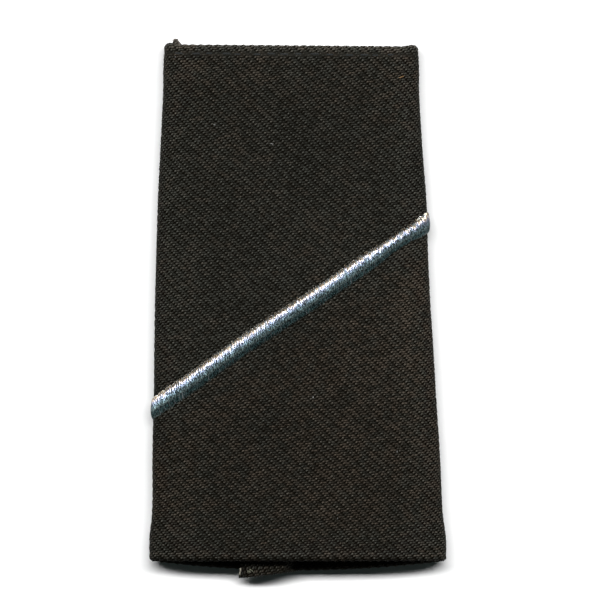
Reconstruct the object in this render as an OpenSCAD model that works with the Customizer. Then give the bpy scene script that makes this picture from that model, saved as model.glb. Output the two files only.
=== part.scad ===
// Slip-on cloth shoulder slide: a flattened, tapered sleeve of twill that a shoulder strap
// passes through, with one raised bar of metallic thread worked across its front.
// It lies on its back panel. +Z comes out of the front, +Y points to the narrow (neck) end.

/* [Sleeve] */
// Length of the front panel, from the narrow end's edge to the wide end's
sleeve_l = 100; // [85:1:130]
// Width across the side folds at the wide end
sleeve_w = 57.5; // [48:0.5:70]
// Height of the open sleeve at its ends, lying on its back panel
sleeve_h = 7.8; // [7:0.1:12]
// Height of the side folds' outermost line
fold_z = 2; // [1.8:0.1:3.2]
// Thickness of the cloth
cloth = 1; // [0.8:0.1:1.3]
// How squarely the front panel turns down to its folds, 2 being an oval
front_square = 3; // [2.4:0.1:5]
// Share of the width that lies flat on the back
back_flat = 0.64; // [0.4:0.02:0.7]

/* [Hems] */
// Depth of the hem turned inside each end
hem_depth = 7; // [4:0.5:12]
// Thickness that the turned layer adds inside
hem_layer = 0.25; // [0.1:0.05:0.4]
// Distance of the pressed crease from the hem's edge
crease_from_edge = 1.5; // [1.2:0.1:2.5]
// Depth of the crease
crease_depth = 0.2; // [0.1:0.05:0.3]
// Width of the crease
crease_w = 0.6; // [0.3:0.1:0.9]
// How far the narrow end's edge leans down, from its middle to the right fold
end_lean = 0.22; // [0:0.02:0.6]
// How far the back panel reaches past the front panel at the wide end
back_bow = 1.85; // [0:0.05:3]

/* [Back seam] */
// Width of the groove along the back seam
seam_w = 0.9; // [0.5:0.1:1.5]
// Depth of the groove
seam_depth = 0.35; // [0.1:0.05:0.5]
// Width of the seam allowance, pressed to the left inside
allowance_w = 11.2; // [6:0.1:14]
// Thickness of the allowance
allowance_t = 0.7; // [0.5:0.1:1]
// How far its free side comes out of the wide end
allowance_out = 1.5; // [0:0.1:3]
// Distance from the narrow end's edge to the allowance's hidden end
allowance_start = 2; // [1:0.5:6]

/* [Stripe] */
// Width of the raised bar, across its run
stripe_w = 3.1; // [2:0.1:6]
// Height of the bar over the front panel
stripe_h = 0.75; // [0.4:0.05:1]
// Distance from the narrow end's edge to the bar's middle, on the centre line
stripe_mid = 52.3; // [45:0.1:60]
// Angle of the bar to the width
stripe_angle = 33.7; // [20:0.1:36]
// How far the bar runs round under each fold, in degrees of the fold's curve
stripe_tuck = 50; // [20:10:50]

/* [Hem corner] */
// Width of the folded corner that stands out of the narrow end
corner_w = 1.75; // [1:0.05:2.5]
// How far the corner stands out
corner_out = 1.4; // [0.8:0.1:3]
// Thickness of the corner
corner_t = 0.6; // [0.4:0.1:0.8]
// Depth of the corner inside the sleeve
corner_depth = 5; // [3:0.5:6.5]

/* [Fits] */
// Gap left between pieces that are sewn together
sewn_gap = 0.12; // [0.05:0.01:0.2]
// Gap between the folded corner and the fold it lies in
corner_gap = 0.3; // [0.2:0.05:0.5]

/* [Hidden] */

TWILL = [0.15, 0.145, 0.13];
TWILL_EDGE = [0.24, 0.22, 0.19];
SILVER = [0.78, 0.82, 0.84];

// Sections along the sleeve, from the narrow end: each column is a share of a named size
SHARE = 0;
WIDTH = 1;
MIDLINE = 2;
HEIGHT = 3;
SECTIONS = [
    // share of sleeve_l, width of sleeve_w, midline of sleeve_w, height of sleeve_h
    [0.000, 0.848, -0.0224, 1.000],
    [0.009, 0.853, -0.0224, 1.000],
    [0.106, 0.865, -0.0228, 0.985],
    [0.203, 0.884, -0.0218, 0.970],
    [0.300, 0.907, -0.0191, 0.965],
    [0.397, 0.916, -0.0197, 0.960],
    [0.494, 0.928, -0.0181, 0.960],
    [0.591, 0.942, -0.0137, 0.960],
    [0.688, 0.953, -0.0095, 0.965],
    [0.785, 0.970, -0.0062, 0.970],
    [0.882, 0.976, -0.0022, 0.985],
    [0.920, 0.983, -0.0015, 0.990],
    [0.944, 0.996, 0.0000, 0.995],
    [0.969, 1.000, 0.0000, 1.000],
    [1.000, 0.998, 0.0000, 1.000]
];

// Angles around a section: 0 is the right fold, 90 the front, 180 the left fold
FRONT_STEP = 4.5;
UNDER_STEP = 10;
// The lean fades out over the narrow end, and the bow over the wide one
LEAN_FADE = 4;
BOW_FADE = 6;

hem_wall = cloth + hem_layer;
rim_r = hem_wall / 2;
allowance_share = allowance_w / (sleeve_w / 2);
wide_reach = back_bow * (1 - pow(allowance_share, 2)) + allowance_out;
corner_x_share = -1 + (hem_wall + corner_gap + corner_w / 2) / half_width(0);
corner_reach = corner_out - end_lean * corner_x_share;
narrow_y = (sleeve_l + wide_reach - corner_reach) / 2;

function column(d, name) = lookup(d / sleeve_l, [for (row = SECTIONS) [row[SHARE], row[name]]]);
function half_width(d) = column(d, WIDTH) * sleeve_w / 2;
function midline(d) = column(d, MIDLINE) * sleeve_w;
function height(d) = column(d, HEIGHT) * sleeve_h;
function bump(x, width) = max(0, 1 - abs(x) / (width / 2));

// A point of the front at distance d from the narrow end, sunk under the outer face by inset
function front_point(d, angle, inset) =
    let (n = front_square)
    let (reach = pow(pow(abs(cos(angle)), n) + pow(abs(sin(angle)), n), -1 / n))
    [
        (half_width(d) - inset) * reach * cos(angle),
        fold_z + (height(d) - fold_z - inset) * reach * sin(angle)
    ];

// A point under a fold: side is 1 on the right, -1 on the left, and 90 degrees ends on the flat
function under_point(d, side, angle, inset) =
    let (flat = back_flat * half_width(d))
    [
        side * (flat + (half_width(d) - inset - flat) * cos(angle)),
        fold_z - (fold_z - inset) * sin(angle)
    ];

// A point anywhere from under the right fold (below 0) to under the left one (above 180)
function skin_point(d, angle, inset) =
    angle < 0 ? under_point(d, 1, -angle, inset)
    : angle > 180 ? under_point(d, -1, angle - 180, inset)
    : front_point(d, angle, inset);

// The place along Y of a point at distance d, with the lean and the bow of the two ends
function run_y(d, x, back) =
    let (across = x / half_width(d))
    narrow_y - d
    - end_lean * across * pow(1 - min(1, d / sleeve_l), LEAN_FADE)
    - (back ? back_bow * (1 - across * across) * pow(d / sleeve_l, BOW_FADE) : 0);

function placed(d, point, back) = [point[0] + midline(d), run_y(d, point[0], back), point[1]];

// The back seam's groove fades out through the cloth
function seam_lift(inset) = seam_depth * max(0, 1 - inset / cloth);

// One closed ring of the sleeve, from the right fold over the front and back underneath
function ring(d, inset) = concat(
    [for (a = [0 : FRONT_STEP : 180]) placed(d, front_point(d, a, inset), false)],
    [for (a = [UNDER_STEP : UNDER_STEP : 90]) placed(d, under_point(d, -1, a, inset), true)],
    [for (x = [-seam_w / 2, 0, seam_w / 2])
        placed(d, [x, inset + seam_lift(inset) * bump(x, seam_w)], true)],
    [for (a = [90 : -UNDER_STEP : UNDER_STEP]) placed(d, under_point(d, 1, a, inset), true)]
);

// The rounded rim of a hem, from its inner face to its outer one
RIM_STEP = 30;
function rim(edge, inward) = [
    for (a = [0 : RIM_STEP : 180]) [edge + inward * rim_r * (1 - sin(a)), rim_r * (1 + cos(a))]
];
function crease(edge, inward) =
    let (middle = edge + inward * crease_from_edge)
    [
        [middle - crease_w / 2, 0],
        [middle, crease_depth],
        [middle + crease_w / 2, 0]
    ];

// The path of the cloth through the wall, as [distance, inset]: out over the narrow rim,
// down the outside, in over the wide rim and back up the inside
LAYER_STEP = 0.4;
function body_rows() = [
    for (row = SECTIONS)
        let (d = row[SHARE] * sleeve_l)
        if (d > crease_from_edge + crease_w && d < sleeve_l - crease_from_edge - crease_w) [d, 0]
];
function reversed(list) = [for (i = [len(list) - 1 : -1 : 0]) list[i]];
function wall_path() = concat(
    rim(0, 1),
    crease(0, 1),
    body_rows(),
    crease(sleeve_l, -1),
    reversed(rim(sleeve_l, -1)),
    [
        [sleeve_l - hem_depth, hem_wall],
        [sleeve_l - hem_depth - LAYER_STEP, cloth],
        [sleeve_l * 0.75, cloth],
        [sleeve_l * 0.5, cloth],
        [sleeve_l * 0.25, cloth],
        [hem_depth + LAYER_STEP, cloth],
        [hem_depth, hem_wall]
    ]
);

function flat_list(lists) = [for (list = lists) each list];

// Faces between rings of n points; closed joins the last ring to the first
function skin_faces(rings, n, closed) = [
    for (i = [0 : rings - (closed ? 1 : 2)], j = [0 : n - 1])
        let (a = i * n + j)
        let (b = i * n + (j + 1) % n)
        let (c = ((i + 1) % rings) * n + (j + 1) % n)
        let (e = ((i + 1) % rings) * n + j)
        each [[a, c, b], [a, e, c]]
];
function cap_faces(first, n, flip) = [
    for (j = [1 : n - 2]) flip ? [first, first + j, first + j + 1] : [first, first + j + 1, first + j]
];
module skinned(rings) {
    n = len(rings[0]);
    polyhedron(
        points = flat_list(rings),
        faces = concat(
            skin_faces(len(rings), n, false),
            cap_faces(0, n, true),
            cap_faces((len(rings) - 1) * n, n, false)
        ),
        convexity = 4
    );
}

module sleeve() {
    rings = [for (step = wall_path()) ring(step[0], step[1])];
    color(TWILL)
        polyhedron(
            points = flat_list(rings),
            faces = skin_faces(len(rings), len(rings[0]), true),
            convexity = 8
        );
}

// The bar follows the cloth round both folds, so its place is set along the cloth's girth
function step_length(a, b) = norm(skin_point(stripe_mid, b, 0) - skin_point(stripe_mid, a, 0));
stripe_angles = concat(
    [for (a = [-stripe_tuck : UNDER_STEP : -UNDER_STEP]) a],
    [for (a = [0 : FRONT_STEP : 180]) a],
    [for (a = [UNDER_STEP : UNDER_STEP : stripe_tuck]) 180 + a]
);
centre_index = search(90, stripe_angles)[0];
function girth(i) =
    i == centre_index ? 0
    : i > centre_index ? girth(i - 1) - step_length(stripe_angles[i - 1], stripe_angles[i])
    : girth(i + 1) + step_length(stripe_angles[i + 1], stripe_angles[i]);

// The bar is pressed lower at the folds, and tapers out under them
FOLD_PRESS = 0.35;
END_PRESS = 0.55;
function stripe_rise(angle) =
    let (past = angle < 0 ? -angle : angle > 180 ? angle - 180 : 0)
    stripe_h * (1 - FOLD_PRESS * pow(abs(cos(angle)), 8)) * (1 - END_PRESS * past / stripe_tuck);

// Its outline, as [share of the half width, share of the rise]
STRIPE_OUTLINE = concat(
    [for (a = [180 : -15 : 0]) [cos(a), pow(sin(a), 0.7)]],
    [for (x = [0.5, 0, -0.5]) [x, 0]]
);
function stripe_ring(i) =
    let (angle = stripe_angles[i])
    let (middle = stripe_mid - tan(stripe_angle) * girth(i))
    let (half = stripe_w / 2 / cos(stripe_angle))
    [
        for (p = STRIPE_OUTLINE)
            let (d = middle - half * p[0])
            placed(d, skin_point(d, angle, -sewn_gap - stripe_rise(angle) * p[1]), false)
    ];
module stripe() {
    color(SILVER)
        skinned([for (i = [0 : len(stripe_angles) - 1]) stripe_ring(i)]);
}

// The allowance lies on the back panel's inside, and its outer end slants out of the mouth
ALLOWANCE_CORNER = 0.15;
function allowance_outline() =
    let (r = ALLOWANCE_CORNER)
    let (right = -sewn_gap)
    let (left = -allowance_w)
    let (t = allowance_t)
    [[right, 0], [right, t - r], [right - r, t], [left + r, t], [left, t - r], [left, r], [left + r, 0]];
function allowance_floor(d) =
    let (in_hem = d < hem_depth + LAYER_STEP || d > sleeve_l - hem_depth - LAYER_STEP)
    (in_hem ? hem_wall : cloth) + sewn_gap;
function allowance_ring(d, out) = [
    for (p = allowance_outline())
        [
            p[0] + midline(d),
            run_y(d, p[0], true) + allowance_out * out * p[0] / allowance_w,
            p[1] + allowance_floor(d)
        ]
];
module seam_allowance() {
    step = 2 * LAYER_STEP;
    color(TWILL_EDGE)
        skinned([
            allowance_ring(allowance_start, 0),
            allowance_ring(hem_depth, 0),
            allowance_ring(hem_depth + step, 0),
            allowance_ring(sleeve_l / 2, 0),
            allowance_ring(sleeve_l - hem_depth - step, 0),
            allowance_ring(sleeve_l - hem_depth, 0),
            allowance_ring(sleeve_l - rim_r, 0.5),
            allowance_ring(sleeve_l, 1)
        ]);
}

// A folded corner of the hem lies in the left fold and stands out of the narrow end
module hem_corner() {
    r = corner_t / 4;
    half = corner_w / 2 - r;
    middle = corner_x_share * half_width(0) + midline(0);
    color(TWILL_EDGE)
        translate([middle, narrow_y - end_lean * corner_x_share, fold_z])
            linear_extrude(corner_t)
                offset(r = r, $fn = 16)
                    polygon([
                        [-half, r - corner_depth],
                        [half, r - corner_depth],
                        [half, -corner_t],
                        [0, corner_out - r],
                        [-half / 2, corner_out - r],
                        [-half, 0]
                    ]);
}

sleeve();
stripe();
seam_allowance();
hem_corner();
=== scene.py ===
"""A cloth shoulder slide lying on its back: woven sleeve, silver bar, hems and seam allowance."""

import math

import bpy
import numpy as np
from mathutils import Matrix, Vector


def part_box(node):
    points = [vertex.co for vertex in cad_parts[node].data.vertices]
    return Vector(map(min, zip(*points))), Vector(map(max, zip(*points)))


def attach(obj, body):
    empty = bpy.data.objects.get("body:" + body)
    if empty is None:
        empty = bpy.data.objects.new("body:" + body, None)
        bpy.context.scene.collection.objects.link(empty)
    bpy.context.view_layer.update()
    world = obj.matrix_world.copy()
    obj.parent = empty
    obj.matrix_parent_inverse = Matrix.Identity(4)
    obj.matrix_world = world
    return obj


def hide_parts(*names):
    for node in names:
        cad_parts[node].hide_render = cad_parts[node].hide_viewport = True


MM = 0.001

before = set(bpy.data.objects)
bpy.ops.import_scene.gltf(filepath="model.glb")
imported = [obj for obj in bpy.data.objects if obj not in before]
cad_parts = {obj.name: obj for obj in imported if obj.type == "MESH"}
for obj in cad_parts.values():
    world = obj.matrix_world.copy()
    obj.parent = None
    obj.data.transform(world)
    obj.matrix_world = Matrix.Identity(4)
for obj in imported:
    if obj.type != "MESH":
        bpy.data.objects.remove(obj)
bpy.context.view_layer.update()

# The named sizes of the part's source, in millimetres
END_LEAN = 0.22
BACK_BOW = 1.85
FOLD_Z = 2.0
FRONT_SQUARE = 3.0
BACK_FLAT = 0.64
CLOTH = 1.0
HEM_LAYER = 0.25
HEM_DEPTH = 7.0
LAYER_STEP = 0.4
CREASE_FROM_EDGE = 1.5
SEAM_DEPTH = 0.35
SEAM_W = 0.9
ALLOWANCE_W = 11.2
ALLOWANCE_OUT = 1.5
ALLOWANCE_START = 2.0
STRIPE_W = 3.1
STRIPE_H = 0.75
STRIPE_MID = 52.3
STRIPE_ANGLE = math.radians(33.7)
STRIPE_TUCK = 50 / 90
SEWN_GAP = 0.12

# The rest follows from the frame
sleeve_low, sleeve_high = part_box("sleeve")
SLEEVE_W = (sleeve_high.x - sleeve_low.x) / MM
SLEEVE_H = sleeve_high.z / MM
NARROW_Y = sleeve_high.y / MM - END_LEAN
SLEEVE_L = NARROW_Y - BACK_BOW - sleeve_low.y / MM
HEM_WALL = CLOTH + HEM_LAYER
RIM_R = HEM_WALL / 2
QUARTER_RIM = RIM_R * math.pi / 2

# Sections along the sleeve from the narrow end, each column a share of a named size
SHARE, WIDTH, MIDLINE, HEIGHT = range(4)
SECTIONS = np.array([
    # share of the length, width, midline, height
    [0.000, 0.848, -0.0224, 1.000],
    [0.009, 0.853, -0.0224, 1.000],
    [0.106, 0.865, -0.0228, 0.985],
    [0.203, 0.884, -0.0218, 0.970],
    [0.300, 0.907, -0.0191, 0.965],
    [0.397, 0.916, -0.0197, 0.960],
    [0.494, 0.928, -0.0181, 0.960],
    [0.591, 0.942, -0.0137, 0.960],
    [0.688, 0.953, -0.0095, 0.965],
    [0.785, 0.970, -0.0062, 0.970],
    [0.882, 0.976, -0.0022, 0.985],
    [0.920, 0.983, -0.0015, 0.990],
    [0.944, 0.996, 0.0000, 0.995],
    [0.969, 1.000, 0.0000, 1.000],
    [1.000, 0.998, 0.0000, 1.000],
])

# The twill: threads to the millimetre, and how far the warp leans off the sleeve's length
ENDS_PER_MM = 2.356
PICKS_PER_MM = 2.400
WARP_LEAN = 0.0954
# Two thirds of a thread between the mesh's lines
THREAD_STEP = 2 / 3
FLOAT_RISE = 0.5
YARN_ROUND = 0.5
RELIEF = 0.15
# The ribs' crest among the thread numbers, and how far ribs stand out along an edge
RIB_CREST = 3.37
SCALLOP = 0.10
# How far and how wide the hems' creases are pressed in
CREASE_DEPTH = 0.06
CREASE_W = 0.32
# How many threads the drift of the weave takes them off their line
WANDER = 0.22
# How far single floats differ in brightness
BEAD_SPREAD = 0.9

# Small unevenness of the wall: what the hems' double cloth adds at the folds, the bulge at the narrow
# corners and the dents over the front
HEM_SWELL_NARROW = 0.14
HEM_SWELL_LEFT = 0.13
HEM_SWELL_RIGHT = 0.08
CORNER_BULGE = 0.3
DENT = 0.10


# Small tools

WAVES = 7


def smooth(low, high, x):
    share = np.clip((x - low) / (high - low), 0, 1)
    return share * share * (3 - 2 * share)


def waves(x, y, length, seed):
    """Smooth unevenness from about -1 to 1, in bumps about length millimetres long."""
    random = np.random.default_rng(seed)
    total = 0
    for _ in range(WAVES):
        turn = random.uniform(0, 2 * math.pi)
        phase = random.uniform(0, 2 * math.pi)
        stretch = random.uniform(0.7, 1.6)
        run = (x * math.cos(turn) + y * math.sin(turn)) / (length * stretch)
        total = total + np.sin(2 * math.pi * run + phase)
    return total / (WAVES / 2)


def unit(vectors):
    return vectors / np.maximum(np.linalg.norm(vectors, axis=-1, keepdims=True), 1e-9)


# The sleeve's wall

def column(d, name):
    """A column of SECTIONS at distance d from the narrow end, with its corners rounded."""
    spread = (-2, -1, 0, 1, 2)
    shares = SECTIONS[:, SHARE]
    return np.mean([np.interp((d + k) / SLEEVE_L, shares, SECTIONS[:, name]) for k in spread], axis=0)


def half_width(d):
    return column(d, WIDTH) * SLEEVE_W / 2


def midline(d):
    return column(d, MIDLINE) * SLEEVE_W


def height(d):
    return column(d, HEIGHT) * SLEEVE_H


def wall_point(d, v, inset):
    """x and z of the wall on one side: v is 0 mid front, 1 on the fold, 2 under it, 3 at the back seam."""
    half = half_width(d)
    turn = np.pi / 2 * np.clip(v, 0, 1)
    across = np.abs(np.sin(turn))
    up = np.abs(np.cos(turn))
    reach = (across ** FRONT_SQUARE + up ** FRONT_SQUARE) ** (-1 / FRONT_SQUARE)
    front_x = (half - inset) * reach * across
    front_z = FOLD_Z + (height(d) - FOLD_Z - inset) * reach * up

    under = np.pi / 2 * np.clip(v - 1, 0, 1)
    flat = BACK_FLAT * half
    back_x = flat + (half - inset - flat) * np.cos(under) - flat * np.clip(v - 2, 0, 1)
    groove = SEAM_DEPTH * np.exp(-(back_x / (SEAM_W / 3)) ** 2) * np.clip(1 - inset / CLOTH, 0, 1)
    back_z = FOLD_Z - (FOLD_Z - inset) * np.sin(under) + np.where(v > 2, groove, 0)
    return np.where(v < 1, front_x, back_x), np.where(v < 1, front_z, back_z)


# Girth tables: how far along the cloth each v lies, at steps of the sleeve's length
D_STEPS = np.linspace(0, SLEEVE_L, 201)
V_STEPS = np.linspace(0, 3, 601)
Q_STEPS = np.linspace(0, 62, 621)


def girth_table():
    x, z = wall_point(D_STEPS[:, None], V_STEPS[None, :], 0.0)
    steps = np.hypot(np.diff(x, axis=1), np.diff(z, axis=1))
    return np.concatenate([np.zeros((len(D_STEPS), 1)), np.cumsum(steps, axis=1)], axis=1)


GIRTH = girth_table()
V_OF_GIRTH = np.array([np.interp(Q_STEPS, row, V_STEPS) for row in GIRTH])


def half_girth(d):
    return np.interp(d, D_STEPS, GIRTH[:, -1])


def girth_at(d, v):
    row = int(round(np.clip(d / SLEEVE_L, 0, 1) * (len(D_STEPS) - 1)))
    return float(np.interp(v, V_STEPS, GIRTH[row]))


def fold_share(q, d):
    """v at a distance q from the front's middle, measured along the cloth."""
    row = np.clip(d / SLEEVE_L, 0, 1) * (len(D_STEPS) - 1)
    col = np.clip(np.abs(q) / Q_STEPS[-1], 0, 1) * (len(Q_STEPS) - 1)
    i = np.minimum(row.astype(int), len(D_STEPS) - 2)
    j = np.minimum(col.astype(int), len(Q_STEPS) - 2)
    a, b = row - i, col - j
    near = V_OF_GIRTH[i, j] * (1 - b) + V_OF_GIRTH[i, j + 1] * b
    far = V_OF_GIRTH[i + 1, j] * (1 - b) + V_OF_GIRTH[i + 1, j + 1] * b
    return near * (1 - a) + far * a


def hem_swell(side, d):
    """The hems' double cloth stands a little further out at the folds."""
    narrow = HEM_SWELL_NARROW * smooth(8, 5, d)
    wide = np.where(side < 0, HEM_SWELL_LEFT, HEM_SWELL_RIGHT) * smooth(SLEEVE_L - 8, SLEEVE_L - 5, d)
    return narrow + wide


def place(side, d, v, inset):
    """The point of the wall in the row frame, in millimetres; side is 1 on the right, -1 on the left."""
    x, z = wall_point(d, v, inset)
    across = np.clip(side * x / half_width(d), -1, 1)
    along = np.clip(d / SLEEVE_L, 0, 1)
    x = x + hem_swell(side, d) * across ** 4
    lean = END_LEAN * across * (1 - along) ** 4
    bow = np.where(v > 1, BACK_BOW * (1 - across ** 2) * along ** 6, 0)
    bulge = CORNER_BULGE * np.exp(-((np.abs(across) - 0.95) / 0.04) ** 2 - (d / 1.2) ** 2)
    y = NARROW_Y - d - lean - bow + bulge
    dent = DENT * waves(side * x, d, 23, 5) * np.cos(np.pi / 2 * np.clip(v, 0, 1))
    dent = np.where(v < 1, dent, 0)
    return np.stack([side * x + midline(d), y, z + dent], axis=-1)


def on_cloth(q, d, inset=0.0):
    """The point at q across the front's middle and d from the narrow end, measured on the cloth."""
    q, d, inset = np.broadcast_arrays(np.asarray(q, float), np.asarray(d, float), inset)
    return place(np.where(q < 0, -1.0, 1.0), d, fold_share(q, d), inset)


def out_of_cloth(q, d):
    """The wall's outward direction at that point."""
    step = 0.2
    across = on_cloth(q + step, d) - on_cloth(q - step, d)
    down = on_cloth(q, d + step) - on_cloth(q, d - step)
    return unit(np.cross(down, across))


# The weave

def threads_at(x, p):
    """Warp and weft thread numbers at x across the flat cloth and p along it."""
    ends = ENDS_PER_MM * x - WARP_LEAN * (p - SLEEVE_L / 2)
    picks = PICKS_PER_MM * p
    return ends, picks


def twill(ends, picks):
    """Height of a two-and-two twill, about 0 in the gaps and 1 on the floats."""
    end = np.floor(ends)
    pick = np.floor(picks)
    across_end = 1 - (2 * (ends - end) - 1) ** 2
    across_pick = 1 - (2 * (picks - pick) - 1) ** 2
    warp = FLOAT_RISE * np.cos((picks - end) * np.pi / 2) + YARN_ROUND * across_end
    weft = FLOAT_RISE * np.cos((ends - pick - 3) * np.pi / 2) + YARN_ROUND * across_pick
    return np.maximum(warp, weft)


def wander(ends, picks):
    """Threads don't run quite true: a slow drift of up to a quarter of a thread."""
    x, y = ends / ENDS_PER_MM, picks / PICKS_PER_MM
    return ends + WANDER * waves(x, y, 5.5, 11), picks + WANDER * waves(x, y, 6.5, 12)


# Meshes

def mesh_object(name, points, faces, threads=None):
    """A mesh object from points in millimetres; threads gives each point's thread numbers."""
    mesh = bpy.data.meshes.new(name)
    mesh.from_pydata((np.asarray(points) * MM).tolist(), [], faces)
    mesh.polygons.foreach_set("use_smooth", [True] * len(mesh.polygons))
    if threads is not None:
        corners = np.empty(len(mesh.loops), dtype=int)
        mesh.loops.foreach_get("vertex_index", corners)
        layer = mesh.uv_layers.new(name="threads")
        layer.data.foreach_set("uv", np.asarray(threads, float)[corners].ravel())
    mesh.update()
    piece = bpy.data.objects.new(name, mesh)
    bpy.context.scene.collection.objects.link(piece)
    return piece


def dress(piece, material):
    piece.data.materials.clear()
    piece.data.materials.append(material)


def grid_faces(rows, columns, first=0, ring=False):
    """Quads of a grid of points stored row by row."""
    faces = []
    for r in range(rows - 1):
        for c in range(columns if ring else columns - 1):
            a = first + r * columns + c
            b = first + r * columns + (c + 1) % columns
            faces.append((a, a + columns, b + columns, b))
    return faces


def tubes(paths, radius, sides=6, flatten=1.0):
    """Points and faces of round threads along paths, an array of (threads, points, 3)."""
    count, steps, _ = paths.shape
    run = unit(np.gradient(paths, axis=1))
    up = np.zeros_like(run)
    up[..., 2] = 1
    up[np.abs(run[..., 2]) > 0.9] = (1, 0, 0)
    side = unit(np.cross(run, up))
    over = np.cross(side, run)
    turn = np.arange(sides) * 2 * np.pi / sides
    size = np.broadcast_to(np.asarray(radius, float).reshape(-1, 1, 1, 1), (count, 1, 1, 1))
    ring = np.cos(turn)[:, None] * side[:, :, None, :]
    ring = ring + flatten * np.sin(turn)[:, None] * over[:, :, None, :]
    points = (paths[:, :, None, :] + size * ring).reshape(-1, 3)
    faces = []
    for k in range(count):
        first = k * steps * sides
        faces += grid_faces(steps, sides, first, ring=True)
        faces.append(tuple(range(first + sides - 1, first - 1, -1)))
        last = first + (steps - 1) * sides
        faces.append(tuple(range(last, last + sides)))
    return points, faces


# Materials

class Finish:
    """A material whose nodes are added by short calls."""

    def __init__(self, name):
        self.material = bpy.data.materials.new(name)
        self.material.use_nodes = True
        self.tree = self.material.node_tree
        self.shader = self.tree.nodes["Principled BSDF"]

    def node(self, kind, **settings):
        made = self.tree.nodes.new(kind)
        for key, value in settings.items():
            setattr(made, key, value)
        return made

    def feed(self, socket, value):
        if isinstance(value, bpy.types.NodeSocket):
            self.tree.links.new(value, socket)
        else:
            socket.default_value = value

    def math(self, operation, *values):
        made = self.node("ShaderNodeMath", operation=operation)
        for socket, value in zip(made.inputs, values):
            self.feed(socket, value)
        return made.outputs[0]

    def mix(self, amount, first, second):
        made = self.node("ShaderNodeMix", data_type="RGBA")
        self.feed(made.inputs["Factor"], amount)
        self.feed(made.inputs[6], first)
        self.feed(made.inputs[7], second)
        return made.outputs[2]

    def ramp(self, value, low, high, to_low=0.0, to_high=1.0):
        made = self.node("ShaderNodeMapRange", interpolation_type="SMOOTHSTEP")
        for name, number in (("Value", value), ("From Min", low), ("From Max", high),
                             ("To Min", to_low), ("To Max", to_high)):
            self.feed(made.inputs[name], number)
        return made.outputs["Result"]

    def bell(self, value, middle, width):
        """1 at the middle, less on either side of it."""
        share = self.math("DIVIDE", self.math("SUBTRACT", value, middle), width)
        return self.math("EXPONENT", self.math("MULTIPLY", self.math("MULTIPLY", share, share), -1.0))

    def add(self, first, *others):
        for other in others:
            first = self.math("ADD", first, other)
        return first

    def noise(self, size, detail=2.0, vector=None):
        """Noise in bumps of that many metres, on the object's own coordinates."""
        made = self.node("ShaderNodeTexNoise")
        if vector is None:
            vector = self.node("ShaderNodeTexCoord").outputs["Object"]
        self.feed(made.inputs["Vector"], vector)
        made.inputs["Scale"].default_value = 1 / size
        made.inputs["Detail"].default_value = detail
        return made.outputs["Fac"]

    def join(self, x, y):
        made = self.node("ShaderNodeCombineXYZ")
        self.feed(made.inputs[0], x)
        self.feed(made.inputs[1], y)
        return made.outputs[0]

    def split(self, vector):
        made = self.node("ShaderNodeSeparateXYZ")
        self.feed(made.inputs[0], vector)
        return made.outputs

    def random(self, x, y):
        """A random number for each pair of whole numbers."""
        made = self.node("ShaderNodeTexWhiteNoise", noise_dimensions="2D")
        self.feed(made.inputs["Vector"], self.join(x, y))
        return made.outputs["Value"]

    def stops(self, value, *stops):
        """A colour for each value from 0 to 1, blended between stops of (place, colour)."""
        made = self.node("ShaderNodeValToRGB")
        self.feed(made.inputs[0], value)
        elements = made.color_ramp.elements
        for place_on, shade in stops[1:-1]:
            elements.new(place_on).color = shade
        for element, (place_on, shade) in ((elements[0], stops[0]), (elements[-1], stops[-1])):
            element.position = place_on
            element.color = shade
        return made.outputs["Color"]

    def set(self, **values):
        for name, value in values.items():
            self.feed(self.shader.inputs[name.replace("_", " ")], value)

    def bump(self, height, distance, strength=1.0, under=None):
        made = self.node("ShaderNodeBump")
        made.inputs["Strength"].default_value = strength
        made.inputs["Distance"].default_value = distance
        self.feed(made.inputs["Height"], height)
        if under is not None:
            self.feed(made.inputs["Normal"], under)
        return made.outputs["Normal"]


def colour(r, g, b):
    return (r, g, b, 1.0)


# The hues of the cloth, and the near black of the gaps between its threads, which is painted shade
WARM = colour(0.0688, 0.0552, 0.0422)
COOL = colour(0.0550, 0.0560, 0.0480)
GAP_SHADE = colour(0.0014, 0.0009, 0.0001)
# The pale tone the brightest cloth turns to, on the worn patches and on the narrow rim's painted highlight
PALE_WEAR_AND_HIGHLIGHT = colour(0.13, 0.12, 0.10)

# How much the ribs and every fourth row stand out in tone, and where among the thread numbers
RIB_TONE, RIB_PHASE = 0.07, 1.30
ROW_TONE, ROW_PHASE = -0.10, -1.51

# Lighter and darker bands: start and end in millimetres from the narrow end, amount. The hems are lighter,
# the narrow rim's two bands are painted highlight where it faces the light, and the last band darkens the
# cloth before the wide rim
TONE_AND_LIGHT_BANDS = (
    (HEM_DEPTH + 0.8, HEM_DEPTH - 0.8, 0.14),
    (SLEEVE_L - HEM_DEPTH - 0.8, SLEEVE_L - HEM_DEPTH + 0.8, 0.02),
    # painted highlight on the narrow rim, which faces the light
    (1.6, 0.4, 1.5),
    (0.5, 0.1, 1.4),
    (SLEEVE_L - 6, SLEEVE_L - 2, -0.12),
)
# Worn patches: millimetres across and from the narrow end, width, length, amount
WORN_PATCHES = (
    (-28, 20, 6, 22, 0.26),
    (18, 50, 9, 18, 0.20),
)
# Lighter towards the right fold and the left one: start and end in millimetres across, amount
FOLD_TONES = (
    (15, 26, 0.42),
    (-15, -26, 0.18),
)
# Bells over the middle and the two pressed creases: millimetres from the narrow end, width, amount. The
# narrow crease's bell is painted shade in the crease, and the wide one's is a painted highlight line beside
# it
NARROW_CREASE = CREASE_FROM_EDGE + 0.2
TONE_AND_LIGHT_BELLS = (
    (50, 18, 0.08),
    # painted shade in the narrow crease
    (NARROW_CREASE, 0.30, -0.25),
    # painted highlight along the wide crease
    (SLEEVE_L - CREASE_FROM_EDGE + 0.1, 0.30, 0.6),
)
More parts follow.
